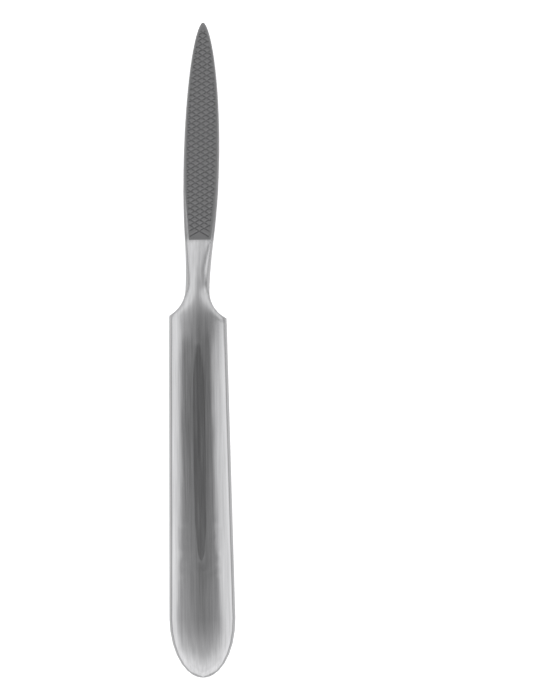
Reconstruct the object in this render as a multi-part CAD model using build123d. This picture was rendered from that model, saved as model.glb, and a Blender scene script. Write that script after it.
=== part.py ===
from build123d import *
import os
from math import atan, atan2, cos, degrees, pi, radians, sin, sqrt, tan

# A surgical bone file: toothed leaf blade, slim neck and flat handle in one piece of steel.
# X runs across the file, Y along it with the tip at +Y, and Z up. Sizes are in mm.
# While the file is being shaped, Y is 0 at the shoulder and Z is 0 at mid thickness.

# Lengths along the file
handle_length = 93.6  # shoulder to the end of the butt
neck_length = 20.1  # shoulder to the end of the toothed faces
toothed_length = 56.3  # from there to the tip
belly_from_tip = 36.7  # tip to the widest part of the blade
butt_length = 15.4  # the rounded end of the handle
crest_from_shoulder = 36.0  # shoulder back to the thickest part of the handle

# Widths
handle_width_front = 15.0
handle_width_back = 17.2
neck_width = 6.2
blade_width = 9.2

# Thicknesses
handle_thickness = 6.2
crown_stock = 0.07  # ground off each side of the handle, which leaves a narrow level strip
blank_thickness = 2.8  # the forged blade before its faces are ground
face_thickness_base = 2.5  # between the ground faces where the teeth end
face_thickness_tip = 1.2

# Form of the blade
point_fullness = 0.57  # 0.5 would make the front of the blade a half ellipse
point_depth_fullness = 0.3  # the same for its thickness
rear_fullness = 1.27  # above 1 the blade stays wide for longer behind its belly
set_angle = 3.15  # degrees that the blade leans from the handle's axis at the neck
sweep_radius = 1820.0  # the slight curve of the blade back towards that axis
run_out_angle = 30.0  # degrees, the ramp at the end of each ground face

# Form of the shoulders and the handle
shoulder_radius = 7.8  # the wheel that grinds each concave shoulder
shoulder_stagger = 0.9  # the left shoulder lies this much nearer the tip
shoulder_land = 0.6  # full width carried past the staggered corner
neck_stock = 0.04  # left on each side of the neck for the wheel to take off
fall_exponent = 5.0  # how late the thickness falls between crest and teeth
butt_thinning = 0.25  # half thickness lost from the crest to the start of the butt
butt_fullness = 0.5  # 0.5 makes the butt a half ellipse seen from above
butt_depth_fullness = 0.3  # the same for its thickness

# Side radius of the oval sections, as a share of their half thickness
handle_side = 0.63
neck_side = 0.8
blade_side = 0.9
least_squash = 0.95  # half thickness of the roundest section, as a share of its half width

# Teeth: two crossing sets of grooves on each face
row_pitch = 1.47  # along the blade, from one groove to the next
column_pitch = 2.5  # across the blade, from one tooth to the next
groove_depth = 0.29
front_wall = 80.0  # degrees, the steep side of a tooth, towards the tip
back_wall = 30.0  # degrees, the gentle side of a tooth
end_land = 0.5  # plain face left between the teeth and the end of the face
groove_overshoot = 0.3  # how far a cutter stands above the face
rim_land = 0.4  # plain face left between a groove's end and the rounded side
tip_land = 1.2  # plain face left at the tip

# Sampling of the curved forms
halvings = 20  # steps in the search for the end of a groove
butt_shares = (0.999, 0.985, 0.95, 0.88, 0.76, 0.6, 0.42, 0.21)
handle_shares = (0.0, 0.12, 0.22, 0.32, 0.5, 0.68, 0.78, 0.85, 0.9, 0.94, 0.97)
shoulder_shares = (0.0, 0.17, 0.35, 0.52, 0.7, 0.86, 1.0)
neck_shares = (0.2, 0.42, 0.62, 0.8, 0.92, 1.0)
rear_shares = (0.12, 0.28, 0.46, 0.64, 0.82, 1.0)
point_shares = (0.1, 0.2, 0.3, 0.4, 0.5, 0.59, 0.67, 0.74, 0.8, 0.855, 0.9, 0.94, 0.97, 0.988, 0.997)

# Places along Y worked out from the sizes
tooth_end_y = neck_length
tip_y = neck_length + toothed_length
belly_y = tip_y - belly_from_tip
crest_y = -crest_from_shoulder
butt_y = butt_length - handle_length
shoulder_depth = (handle_width_front - neck_width) / 2
neck_y = sqrt(shoulder_radius**2 - (shoulder_radius - shoulder_depth) ** 2)
ramp_start_y = shoulder_stagger / 2 + shoulder_land
ramp_end_y = neck_y + shoulder_stagger / 2 + shoulder_land
neck_half = neck_width / 2 + neck_stock
face_base_z = face_thickness_base / 2
face_fall = (face_thickness_base - face_thickness_tip) / 2 / toothed_length


def ease(share):
    """A smooth step from 0 to 1."""
    return (1 - cos(pi * min(max(share, 0), 1))) / 2


def end_curve(share, fullness):
    """How much of its full size a rounded end keeps at a share of its length."""
    return (1 - share**2) ** fullness


def centre_x(y):
    """The line that the working end follows past the neck."""
    along = max(y - neck_y, 0)
    return along * tan(radians(set_angle)) - along**2 / (2 * sweep_radius)


tooth_axis_slope = (centre_x(tip_y) - centre_x(tooth_end_y)) / toothed_length


def half_width(y):
    """Half the width, before the wheel has cut the shoulders."""
    if y < butt_y:
        return handle_width_back / 2 * end_curve((butt_y - y) / butt_length, butt_fullness)
    if y <= ramp_start_y:
        share = min(y / butt_y, 1)
        return (handle_width_front + share * (handle_width_back - handle_width_front)) / 2
    if y <= ramp_end_y:
        share = ease((y - ramp_start_y) / (ramp_end_y - ramp_start_y))
        return handle_width_front / 2 + share * (neck_half - handle_width_front / 2)
    if y <= belly_y:
        share = ease(((belly_y - y) / (belly_y - ramp_end_y)) ** rear_fullness)
        return blade_width / 2 + share * (neck_half - blade_width / 2)
    return blade_width / 2 * end_curve((y - belly_y) / belly_from_tip, point_fullness)


def half_thickness(y):
    """Half the thickness, before the handle and the blade are ground."""
    crown = handle_thickness / 2 + crown_stock
    if y <= crest_y:
        share = (crest_y - y) / (crest_y - butt_y)
        full = crown - butt_thinning * share**3
        past_butt = max(butt_y - y, 0) / butt_length
        depth = full * end_curve(past_butt, butt_depth_fullness)
    elif y <= tooth_end_y:
        share = (y - crest_y) / (tooth_end_y - crest_y)
        depth = crown + share**fall_exponent * (blank_thickness / 2 - crown)
    else:
        past_belly = max(y - belly_y, 0) / belly_from_tip
        depth = blank_thickness / 2 * end_curve(past_belly, point_depth_fullness)
    return min(depth, least_squash * half_width(y))


def side_share(y):
    """The side radius of the section, as a share of its half thickness."""
    if y <= ramp_end_y:
        return handle_side + ease(y / ramp_end_y) * (neck_side - handle_side)
    share = ease((y - ramp_end_y) / (tooth_end_y - ramp_end_y))
    return neck_side + share * (blade_side - neck_side)


def oval(y):
    """The section's two radii, side and crown, and the angle from Z at which they meet."""
    half_x, half_z = half_width(y), half_thickness(y)
    side = side_share(y) * half_z
    crown = ((half_x - side) ** 2 + half_z**2 - side**2) / (2 * (half_z - side))
    return side, crown, atan2(half_x - side, crown - half_z)


def section(y):
    """One oval section across the file, made of four arcs."""
    side, crown, angle = oval(y)
    x, half_x, half_z = centre_x(y), half_width(y), half_thickness(y)
    join_x, join_z = half_x - side * (1 - sin(angle)), side * cos(angle)
    signs = ((1, 1), (-1, 1), (-1, -1), (1, -1))
    joins = [(x + sign_x * join_x, y, sign_z * join_z) for sign_x, sign_z in signs]
    middles = [(x, y, half_z), (x - half_x, y, 0), (x, y, -half_z), (x + half_x, y, 0)]
    ends = joins[1:] + joins[:1]
    return Face(Wire([ThreePointArc(*points) for points in zip(joins, middles, ends)]))


def stations():
    """The places along Y, from the butt to the tip, at which a section is drawn."""
    spans = (
        (butt_y, butt_y - butt_length, butt_shares),
        (butt_y, ramp_start_y, handle_shares),
        (ramp_start_y, ramp_end_y, shoulder_shares),
        (ramp_end_y, tooth_end_y, neck_shares),
        (tooth_end_y, belly_y, rear_shares),
        (belly_y, tip_y, point_shares),
    )
    return [a + share * (b - a) for a, b, shares in spans for share in shares]


def forged_blank():
    """The bar from butt to tip, ruled from each section to the next."""
    return loft([section(y) for y in stations()], ruled=True)


def grind_handle(blank):
    """Grind the handle's crowns level, which leaves a narrow strip along each side."""
    stock = Box(2 * handle_width_back, 3 * handle_length, handle_thickness)
    return blank - [Pos(0, 0, handle_thickness) * stock, Pos(0, 0, -handle_thickness) * stock]


def grind_shoulders(blank):
    """Cut both concave shoulders with an upright round wheel."""
    wheel_x = neck_width / 2 + shoulder_radius
    wheel = Cylinder(shoulder_radius, 2 * handle_thickness)
    left = Pos(-wheel_x, neck_y + shoulder_stagger / 2, 0) * wheel
    right = Pos(wheel_x, neck_y - shoulder_stagger / 2, 0) * wheel
    return blank - [left, right]


def grind_faces(blank):
    """Grind both faces of the blade flat, ending in a short ramp across the neck."""
    past = toothed_length / 10
    top = handle_thickness
    ramp = (top - face_base_z) / tan(radians(run_out_angle))
    profile = Polyline(
        (0, tip_y + past, face_base_z - face_fall * (toothed_length + past)),
        (0, tooth_end_y, face_base_z),
        (0, tooth_end_y - ramp, top),
        (0, tip_y + past, top),
        close=True,
    )
    upper = extrude(make_face(profile), amount=blade_width, dir=(1, 0, 0), both=True)
    return blank - [upper, mirror(upper, Plane.XY)]


def face_half_width(y):
    """Half the width of a ground face, where its plane leaves the rounded side."""
    height = face_base_z - face_fall * (y - tooth_end_y)
    side, crown, angle = oval(y)
    if height > side * cos(angle):
        return sqrt(crown**2 - (height + crown - half_thickness(y)) ** 2)
    return half_width(y) - side + sqrt(side**2 - height**2)


def tooth_axis_x(y):
    """The straight line along which the teeth are set out, from the neck to the tip."""
    return centre_x(tooth_end_y) + (y - tooth_end_y) * tooth_axis_slope


def groove_reach(along, rise, side):
    """How far a groove runs to one side of the tooth axis before it meets the plain rim."""
    reach, step = 0, blade_width / 4
    for _ in range(halvings):
        y = min(tooth_end_y + along + rise * (reach + step), tip_y - tip_land)
        edge = face_half_width(y) + side * (centre_x(y) - tooth_axis_x(y))
        if reach + step < edge - rim_land:
            reach += step
        step /= 2
    return reach


def groove_cutter(start, end):
    """One groove along X from start to end, steep on its handle side, gentle on its tip side."""
    height = groove_depth + groove_overshoot
    profile = Polyline(
        (start, 0, -groove_depth),
        (start, -height / tan(radians(front_wall)), groove_overshoot),
        (start, height / tan(radians(back_wall)), groove_overshoot),
        close=True,
    )
    return extrude(make_face(profile), amount=end - start, dir=(1, 0, 0))


def cut_teeth(blade):
    """Cut two crossing sets of grooves into each ground face."""
    cross_angle = atan2(row_pitch, column_pitch)
    lean = atan(tooth_axis_slope)
    axis = (cos(lean), -sin(lean), 0)
    face = Plane((centre_x(tooth_end_y), tooth_end_y, face_base_z), axis, (0, face_fall, 1))
    first = end_land + face_half_width(tooth_end_y) * tan(cross_angle)
    count = int((toothed_length - tip_land - first) / row_pitch)
    for side in (1, -1):
        rise = side * tan(cross_angle)
        turn = Rot(0, 0, side * degrees(cross_angle))
        upper = []
        for row in range(count):
            along = first + row * row_pitch
            left = groove_reach(along, -rise, -1) / cos(cross_angle)
            right = groove_reach(along, rise, 1) / cos(cross_angle)
            upper.append(face * Pos(0, along, 0) * turn * groove_cutter(-left, right))
        blade = blade - upper
        blade = blade - [mirror(cutter, Plane.XY) for cutter in upper]
    return blade


def make_bone_file():
    """Shape the file and set it down with its lowest point at Z 0 and its box centred."""
    body = cut_teeth(grind_faces(grind_shoulders(grind_handle(forged_blank()))))
    box = body.bounding_box()
    return Pos(-box.center().X, -box.center().Y, -box.min.Z) * body


os.makedirs("parts", exist_ok=True)
export_step(make_bone_file(), "parts/bone_file.step")
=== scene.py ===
import bpy
from math import radians, tan
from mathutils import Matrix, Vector


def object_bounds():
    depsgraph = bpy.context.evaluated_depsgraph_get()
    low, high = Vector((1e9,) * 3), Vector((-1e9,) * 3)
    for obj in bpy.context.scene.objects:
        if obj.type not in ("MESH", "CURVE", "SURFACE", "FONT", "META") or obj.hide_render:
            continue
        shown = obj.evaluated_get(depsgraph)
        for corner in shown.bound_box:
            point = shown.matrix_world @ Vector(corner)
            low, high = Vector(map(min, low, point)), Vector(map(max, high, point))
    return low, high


# The bone file lies on a pale floor and is seen from straight above. Lengths are in metres.

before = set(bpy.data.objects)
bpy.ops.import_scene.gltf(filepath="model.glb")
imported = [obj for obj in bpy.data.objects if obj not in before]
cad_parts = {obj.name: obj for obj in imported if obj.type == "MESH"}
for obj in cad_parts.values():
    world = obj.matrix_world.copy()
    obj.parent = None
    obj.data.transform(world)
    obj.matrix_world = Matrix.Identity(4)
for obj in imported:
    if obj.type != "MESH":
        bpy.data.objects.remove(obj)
cad_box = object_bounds()

# Photograph and camera
PIXEL = 0.00026  # what one pixel of the photograph covers on the file
IMAGE_WIDTH = 550
IMAGE_HEIGHT = 688
AIM = Vector((0.0199, 0.00134, 0.0))  # the point in the middle of the photograph
ROLL = radians(0.87)
CAMERA_HEIGHT = 1.2
SENSOR = 36.0

# Floor
FLOOR_SIZE = 3.0
FLOOR_GREY = 0.93
FLOOR_GLOW = 0.6

# Light: a pale studio all round, with a dark bar overhead along X and a darker spot in it.
# Each place is the sine of its angle from straight up.
BAR_LEFT = -0.47
BAR_RIGHT = 0.32
LEFT_SPREAD = 1.5  # how fast the distance from the bar grows past its left end
RIGHT_SPREAD = 1.4
TIP_SPREAD = 0.95  # the same beside the bar, on the side of the file's tip
BUTT_SPREAD = 0.52
BAR_SHIFT = ((0.02, 0.0), (0.045, 0.45), (0.07, 1.0))  # how much further right it ends there
BAR_STOPS = (  # distance from the bar and the brightness there
    (0.0, 0.17),
    (0.03, 0.2),
    (0.067, 0.31),
    (0.104, 0.43),
    (0.146, 0.54),
    (0.18, 0.68),
    (0.25, 0.78),
    (0.36, 0.8),
    (0.6, 0.98),
)
SPOT_SIZE = 0.07
SPOT_STOPS = ((0.0, 0.6), (0.4, 0.65), (1.0, 1.0))  # share of that size and the gain there
# Pale cards beyond the file's two ends: the place along Y and the light there, which grows
# towards the sides
TIP_CARD = ((0.0, 0.0), (0.012, 0.05), (0.03, 0.5), (0.055, 0.7), (0.11, 0.66), (0.22, 0.8))
TIP_CARD_REACH = 0.08  # how far its left half reaches past the middle
TIP_CARD_RIGHT = 0.26  # share of that card's light at the right
BUTT_CARD = ((0.0, 0.0), (0.012, 0.05), (0.035, 0.42), (0.1, 0.5), (0.3, 0.3))
BUTT_CARD_RIGHT = 0.95  # share of that card's light at the right
BUTT_END = ((0.18, 0.0), (0.55, 0.25))  # light past the butt that is the same on both sides
MOST_LIGHT = 1.0
RIM_GAIN = ((0.62, 1.0), (0.68, 1.12), (0.86, 1.12), (0.97, 0.98))  # gain low over the floor

# Places on the file
TOOTHED_LENGTH = 0.0563
NECK_LENGTH = 0.0201  # from the shoulders to where the teeth end
SHOULDER_LENGTH = 0.00702  # from the shoulders to where the neck is slimmest
TIP_Y = cad_box[1][1]
TEETH_END_Y = TIP_Y - TOOTHED_LENGTH
SHOULDER_Y = TEETH_END_Y - NECK_LENGTH
NECK_Y = SHOULDER_Y + SHOULDER_LENGTH
ROUNDING_START_Y = SHOULDER_Y - 0.016  # from here to the next, the edges get rounder
ROUNDING_FULL_Y = SHOULDER_Y - 0.003
RIM_FULL_Y = NECK_Y - 0.003  # from here to the next, the painted shade on the shoulders' rims fades out
RIM_END_Y = NECK_Y + 0.001
SIDE_START_Y = TEETH_END_Y - 0.001  # from here to the next, painted shade on the blade's sides sets in
SIDE_FULL_Y = TEETH_END_Y + 0.001
BLADE_LEAN = tan(radians(3.15))
BLADE_SWEEP = 1.82  # radius of the blade's slight curve
FACE_LEFT = 0.0026  # how far the dull finish and its painted shade go from the middle where the teeth end
FACE_RIGHT = 0.003
LEFT_GROWTH = 0.115  # how fast it widens from there until it takes in the blade's sides
RIGHT_GROWTH = 0.135
FACE_SOFTNESS = 0.00005

# Steel
STEEL = (0.62, 0.62, 0.63)
SMOOTH_ANGLE = radians(28)  # edges that turn less than this are part of a curved face
LEVEL = 0.99999  # upright share of the normal on the strips that are ground level
WELD = 1e-6
POLISH = 0.11  # roughness of the neck and the handle
POLISH_CHANGE = 0.06
EDGE_RADIUS = 0.0022  # rounding along the ground edges of the shoulders and the neck
SOFT_RADIUS = 0.00015  # the same along the handle
TOOTH_RADIUS = 0.00006
BEVEL_SAMPLES = 8
FLANK_PAINTED_SHADE = 0.5  # painted shade on the steep flanks and the shoulders' rounded edges, against the faces
FLANK_START = 0.84  # cosine of the tilt at which a flank starts
FLANK_END = 0.76
RIM_START = 0.94  # the same for the rounding that the shoulders' edges add
RIM_END = 0.88
FACE_PAINTED_SHADE = 0.375  # painted shade on the blasted tops of the teeth
WALL_PAINTED_SHADE = 0.38  # painted shade on the walls of the teeth
WALL_START = 0.97  # cosine of the tilt at which a wall starts
WALL_END = 0.93
FACE_ROUGHNESS = 0.5
SIDE_PAINTED_SHADE = 0.6  # painted shade on the sides of the blade, beside the teeth
STREAK_CHANGE = 0.4  # how much the brush lines change the shade
GRAIN_CHANGE = 0.12  # the same for the grain of the toothed faces
BRUSH_LINES = (1900.0, 60.0, 1900.0)  # brush lines to the metre along each axis
BRUSH_DEPTH = 0.000004
WAVES = (350.0, 80.0, 350.0)  # the unevenness that grinding by hand leaves
WAVE_DEPTH = 0.00003
GRAIN = (2500.0, 500.0, 2500.0)
WAVE_DETAIL = 1.0  # finer layers of noise in the waves
FINE_DETAIL = 2.0  # the same in the brush lines and the grain
MIX_SOCKETS = (0, 2, 3)  # share, low and high on a mix node for numbers


def add_node(tree, kind, **settings):
    """A node with some of its settings given by name."""
    node = tree.nodes.new(kind)
    for name, value in settings.items():
        setattr(node, name, value)
    return node


def feed(tree, socket, value):
    """Links a socket to another node's output, or gives it a number."""
    if isinstance(value, bpy.types.NodeSocket):
        tree.links.new(value, socket)
    else:
        socket.default_value = value


def calc(tree, operation, *values):
    """A math node fed by numbers or by other nodes' outputs."""
    node = add_node(tree, "ShaderNodeMath", operation=operation)
    for socket, value in zip(node.inputs, values):
        feed(tree, socket, value)
    return node.outputs[0]


def make_ramp(tree, factor, stops):
    """A ramp of greys through (place, brightness) stops."""
    node = add_node(tree, "ShaderNodeValToRGB")
    elements = node.color_ramp.elements
    while len(elements) < len(stops):
        elements.new(0.5)
    for element, (place, value) in zip(elements, stops):
        element.position = place
        element.color = (value, value, value, 1)
    feed(tree, node.inputs[0], factor)
    return node.outputs[0]


def length_of(tree, x, y):
    """The length of the vector (x, y)."""
    squares = calc(tree, "ADD", calc(tree, "MULTIPLY", x, x), calc(tree, "MULTIPLY", y, y))
    return calc(tree, "SQRT", squares)


def past(tree, value, start, spread):
    """How far a value is past start, times spread, and 0 before it."""
    gap = calc(tree, "SUBTRACT", value, start)
    return calc(tree, "MAXIMUM", calc(tree, "MULTIPLY", gap, spread), 0.0)


def step(tree, value, low, high):
    """0 at low, 1 at high, smooth between them and level outside. Low may be the larger one."""
    node = add_node(tree, "ShaderNodeMapRange", interpolation_type="SMOOTHSTEP")
    for socket, number in zip(node.inputs, (value, low, high, 0.0, 1.0)):
        feed(tree, socket, number)
    return node.outputs[0]


def mix(tree, share, low, high):
    """A number between low at share 0 and high at share 1."""
    node = add_node(tree, "ShaderNodeMix")
    for place, number in zip(MIX_SOCKETS, (share, low, high)):
        feed(tree, node.inputs[place], number)
    return node.outputs[0]


def split(tree, vector):
    """The three parts of a vector."""
    node = add_node(tree, "ShaderNodeSeparateXYZ")
    feed(tree, node.inputs[0], vector)
    return node.outputs


def noise(tree, place, scales, detail):
    """Noise from 0 to 1 with its own scale along each axis."""
    stretch = add_node(tree, "ShaderNodeMapping")
    stretch.inputs["Scale"].default_value = scales
    feed(tree, stretch.inputs["Vector"], place)
    node = add_node(tree, "ShaderNodeTexNoise")
    node.inputs["Scale"].default_value = 1.0
    node.inputs["Detail"].default_value = detail
    feed(tree, node.inputs["Vector"], stretch.outputs[0])
    return node.outputs[0]


def bar_light(tree, across, y, to_left, to_butt):
    """The dark bar overhead, which grows lighter past its ends and its sides."""
    left = past(tree, to_left, -BAR_LEFT, LEFT_SPREAD)
    right = past(tree, across, BAR_RIGHT, RIGHT_SPREAD)
    to_tip = past(tree, y, 0.0, TIP_SPREAD)
    beside = calc(tree, "ADD", to_tip, past(tree, to_butt, 0.0, BUTT_SPREAD))
    distance = length_of(tree, calc(tree, "ADD", left, right), beside)
    return make_ramp(tree, distance, BAR_STOPS)


def card_light(tree, x, y, to_left, to_butt):
    """The pale cards beyond the tip and the butt."""
    tip_left = past(tree, to_left, -TIP_CARD_REACH, 1.0)
    tip_side = calc(tree, "MAXIMUM", tip_left, calc(tree, "MULTIPLY", x, TIP_CARD_RIGHT))
    tip_light = calc(tree, "MULTIPLY", make_ramp(tree, y, TIP_CARD), tip_side)
    butt_side = calc(tree, "MAXIMUM", to_left, calc(tree, "MULTIPLY", x, BUTT_CARD_RIGHT))
    butt_light = calc(tree, "MULTIPLY", make_ramp(tree, to_butt, BUTT_CARD), butt_side)
    butt_light = calc(tree, "ADD", butt_light, make_ramp(tree, to_butt, BUTT_END))
    return calc(tree, "ADD", tip_light, butt_light)


def make_world():
    """Even studio light, darker round the bar overhead."""
    world = bpy.data.worlds.new("studio")
    bpy.context.scene.world = world
    world.use_nodes = True
    tree = world.node_tree
    x, y = split(tree, add_node(tree, "ShaderNodeTexCoord").outputs["Generated"])[:2]
    to_left = calc(tree, "MULTIPLY", x, -1.0)
    to_butt = calc(tree, "MULTIPLY", y, -1.0)
    shifted = calc(tree, "SUBTRACT", x, make_ramp(tree, y, BAR_SHIFT))
    bar = bar_light(tree, shifted, y, to_left, to_butt)
    from_top = calc(tree, "DIVIDE", length_of(tree, x, y), SPOT_SIZE)
    spot = make_ramp(tree, from_top, SPOT_STOPS)
    cards = card_light(tree, x, y, to_left, to_butt)
    light = calc(tree, "MINIMUM", calc(tree, "MULTIPLY_ADD", bar, spot, cards), MOST_LIGHT)
    gain = make_ramp(tree, length_of(tree, shifted, y), RIM_GAIN)
    light = calc(tree, "MULTIPLY", light, gain)
    feed(tree, tree.nodes["Background"].inputs["Color"], light)


def make_camera():
    """A camera straight above, framed as the photograph is."""
    camera = bpy.data.cameras.new("camera")
    camera.sensor_width = SENSOR
    camera.lens = SENSOR * CAMERA_HEIGHT / (PIXEL * max(IMAGE_WIDTH, IMAGE_HEIGHT))
    camera.clip_end = 2 * FLOOR_SIZE
    obj = bpy.data.objects.new("camera", camera)
    bpy.context.scene.collection.objects.link(obj)
    obj.location = AIM + Vector((0, 0, CAMERA_HEIGHT))
    obj.rotation_euler = (0, 0, -ROLL)
    bpy.context.scene.camera = obj


def make_floor():
    """A plain pale floor."""
    bpy.ops.mesh.primitive_plane_add(size=FLOOR_SIZE)
    floor = bpy.context.object
    floor.name = "floor"
    material = bpy.data.materials.new("floor")
    material.use_nodes = True
    shader = material.node_tree.nodes["Principled BSDF"]
    shader.inputs["Base Color"].default_value = (FLOOR_GREY, FLOOR_GREY, FLOOR_GREY, 1)
    shader.inputs["Roughness"].default_value = 1.0
    shader.inputs["Specular IOR Level"].default_value = 0.0
    shader.inputs["Emission Color"].default_value = (1, 1, 1, 1)
    shader.inputs["Emission Strength"].default_value = FLOOR_GLOW
    floor.data.materials.append(material)


def level_rims(group):
    """The edges where the strips that are ground level meet the crowned faces."""
    upright = split(group, add_node(group, "GeometryNodeInputNormal").outputs[0])[2]
    level = calc(group, "GREATER_THAN", calc(group, "ABSOLUTE", upright), LEVEL)
    rims = add_node(group, "GeometryNodeMeshFaceSetBoundaries")
    feed(group, rims.inputs[0], level)
    return rims.outputs[0]


def crisp_edges(group):
    """The edges that stay sharp: those that turn far, and the rims of the level strips."""
    angle = add_node(group, "GeometryNodeInputMeshEdgeAngle")
    turned = add_node(group, "FunctionNodeCompare", operation="GREATER_THAN")
    feed(group, turned.inputs["A"], angle.outputs["Unsigned Angle"])
    feed(group, turned.inputs["B"], SMOOTH_ANGLE)
    either = add_node(group, "FunctionNodeBooleanMath", operation="OR")
    feed(group, either.inputs[0], turned.outputs["Result"])
    feed(group, either.inputs[1], level_rims(group))
    return either.outputs[0]


def smooth_faces(obj):
    """Joins the facets of each curved face, so that it shades as one, and keeps true edges sharp."""
    group = bpy.data.node_groups.new("smooth_faces", "GeometryNodeTree")
    group.interface.new_socket("Geometry", in_out="INPUT", socket_type="NodeSocketGeometry")
    group.interface.new_socket("Geometry", in_out="OUTPUT", socket_type="NodeSocketGeometry")
    start = add_node(group, "NodeGroupInput")
    plain = add_node(group, "GeometryNodeRemoveAttribute")
    plain.inputs["Name"].default_value = "custom_normal"
    weld = add_node(group, "GeometryNodeMergeByDistance")
    weld.inputs["Distance"].default_value = WELD
    faces = add_node(group, "GeometryNodeSetShadeSmooth", domain="FACE")
    edges = add_node(group, "GeometryNodeSetShadeSmooth", domain="EDGE")
    edges.inputs["Shade Smooth"].default_value = False
    feed(group, edges.inputs["Selection"], crisp_edges(group))
    end = add_node(group, "NodeGroupOutput")
    steps = (start, plain, weld, faces, edges, end)
    for before, after in zip(steps, steps[1:]):
        feed(group, after.inputs["Geometry"], before.outputs["Geometry"])
    modifier = obj.modifiers.new("smooth_faces", "NODES")
    modifier.node_group = group


def toothed_zone(tree, place):
    """1 on the toothed faces, and on the sides of the blade's front half."""
    x, y = split(tree, place)[:2]
    along = calc(tree, "SUBTRACT", y, NECK_Y)
    lean = calc(tree, "MULTIPLY", along, BLADE_LEAN)
    sweep = calc(tree, "DIVIDE", calc(tree, "MULTIPLY", along, along), 2 * BLADE_SWEEP)
    aside = calc(tree, "SUBTRACT", x, calc(tree, "SUBTRACT", lean, sweep))
    past_end = calc(tree, "SUBTRACT", y, TEETH_END_Y)
    right = calc(tree, "MULTIPLY_ADD", past_end, RIGHT_GROWTH, FACE_RIGHT)
    left = calc(tree, "MULTIPLY_ADD", past_end, LEFT_GROWTH, FACE_LEFT)
    room_right = calc(tree, "SUBTRACT", right, aside)
    room_left = calc(tree, "ADD", left, aside)
    room = calc(tree, "MINIMUM", calc(tree, "MINIMUM", room_left, room_right), past_end)
    return step(tree, room, -FACE_SOFTNESS, FACE_SOFTNESS)


def bumps(tree, place, shape):
    """The shape's normals with brush lines and slight waves on top."""
    layers = ((WAVES, WAVE_DETAIL, WAVE_DEPTH), (BRUSH_LINES, FINE_DETAIL, BRUSH_DEPTH))
    for scales, detail, depth in layers:
        bump = add_node(tree, "ShaderNodeBump")
        bump.inputs["Distance"].default_value = depth
        feed(tree, bump.inputs["Height"], noise(tree, place, scales, detail))
        feed(tree, bump.inputs["Normal"], shape)
        shape = bump.outputs[0]
    return shape


def rounded_shape(tree, y, toothed):
    """The shape's normals with its edges rounded, most of all from the shoulders forwards."""
    bevel = add_node(tree, "ShaderNodeBevel", samples=BEVEL_SAMPLES)
    forward = step(tree, y, ROUNDING_START_Y, ROUNDING_FULL_Y)
    radius = mix(tree, forward, SOFT_RADIUS, EDGE_RADIUS)
    feed(tree, bevel.inputs["Radius"], mix(tree, toothed, radius, TOOTH_RADIUS))
    return bevel.outputs[0]


def painted_rim_share(tree, y, shape, upward):
    """Where shade is painted: 1 on the steep flanks and on the shoulders' rounded edges, and 0 on
    the broad faces.
    """
    turn = add_node(tree, "ShaderNodeVectorMath", operation="DOT_PRODUCT")
    feed(tree, turn.inputs[0], shape)
    feed(tree, turn.inputs[1], add_node(tree, "ShaderNodeNewGeometry").outputs["Normal"])
    rim = step(tree, turn.outputs["Value"], RIM_START, RIM_END)
    rim = calc(tree, "MULTIPLY", rim, step(tree, y, RIM_END_Y, RIM_FULL_Y))
    return calc(tree, "MAXIMUM", step(tree, upward, FLANK_START, FLANK_END), rim)


def varied(tree, pattern, change):
    """A gain round 1 that follows a pattern of noise."""
    return calc(tree, "MULTIPLY_ADD", calc(tree, "SUBTRACT", pattern, 0.5), change, 1.0)


def satin_painted_shade(tree, y, painted_rim, streaks):
    """The shade of the handle, the neck and the blade's sides: painted shade on the flanks, the
    shoulders' rims and the blade's sides, times the brush lines' change in tone.
    """
    shade = mix(tree, painted_rim, 1.0, FLANK_PAINTED_SHADE)
    shade = calc(tree, "MULTIPLY", shade, varied(tree, streaks, STREAK_CHANGE))
    beside = step(tree, y, SIDE_START_Y, SIDE_FULL_Y)
    return calc(tree, "MULTIPLY", shade, mix(tree, beside, 1.0, SIDE_PAINTED_SHADE))


def toothed_painted_shade(tree, place, upward):
    """The painted shade of the toothed faces, on their tops and their walls, times the grain's
    change in tone.
    """
    wall = step(tree, upward, WALL_START, WALL_END)
    grain = varied(tree, noise(tree, place, GRAIN, FINE_DETAIL), GRAIN_CHANGE)
    return calc(tree, "MULTIPLY", mix(tree, wall, FACE_PAINTED_SHADE, WALL_PAINTED_SHADE), grain)


def make_steel():
    """Satin steel on the handle and the neck, and rough blasted steel on the toothed faces, with
    painted shade darkening the toothed faces, the steep flanks, the shoulders' rims and the blade's
    sides.
    """
    material = bpy.data.materials.new("steel")
    material.use_nodes = True
    tree = material.node_tree
    place = add_node(tree, "ShaderNodeTexCoord").outputs["Object"]
    y = split(tree, place)[1]
    toothed = toothed_zone(tree, place)
    shape = rounded_shape(tree, y, toothed)
    upward = calc(tree, "ABSOLUTE", split(tree, shape)[2])
    streaks = noise(tree, place, BRUSH_LINES, FINE_DETAIL)
    # painted shade on the flanks, the rims and the blade's sides, with the brush lines' real change
    # in tone
    satin_tone_and_shade = satin_painted_shade(tree, y, painted_rim_share(tree, y, shape, upward), streaks)
    shade = mix(tree, toothed, satin_tone_and_shade, toothed_painted_shade(tree, place, upward))
    polish = calc(tree, "MULTIPLY_ADD", streaks, POLISH_CHANGE, POLISH - POLISH_CHANGE / 2)
    colour = add_node(tree, "ShaderNodeVectorMath", operation="SCALE")
    colour.inputs[0].default_value = STEEL
    feed(tree, colour.inputs["Scale"], shade)
    shader = tree.nodes["Principled BSDF"]
    shader.inputs["Metallic"].default_value = 1.0
    feed(tree, shader.inputs["Base Color"], colour.outputs[0])
    feed(tree, shader.inputs["Roughness"], mix(tree, toothed, polish, FACE_ROUGHNESS))
    feed(tree, shader.inputs["Normal"], bumps(tree, place, shape))
    return material


make_world()
make_camera()
make_floor()
file_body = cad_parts["bone_file"]
file_body.data.materials.clear()
file_body.data.materials.append(make_steel())
smooth_faces(file_body)
bpy.context.scene.view_settings.view_transform = "Standard"
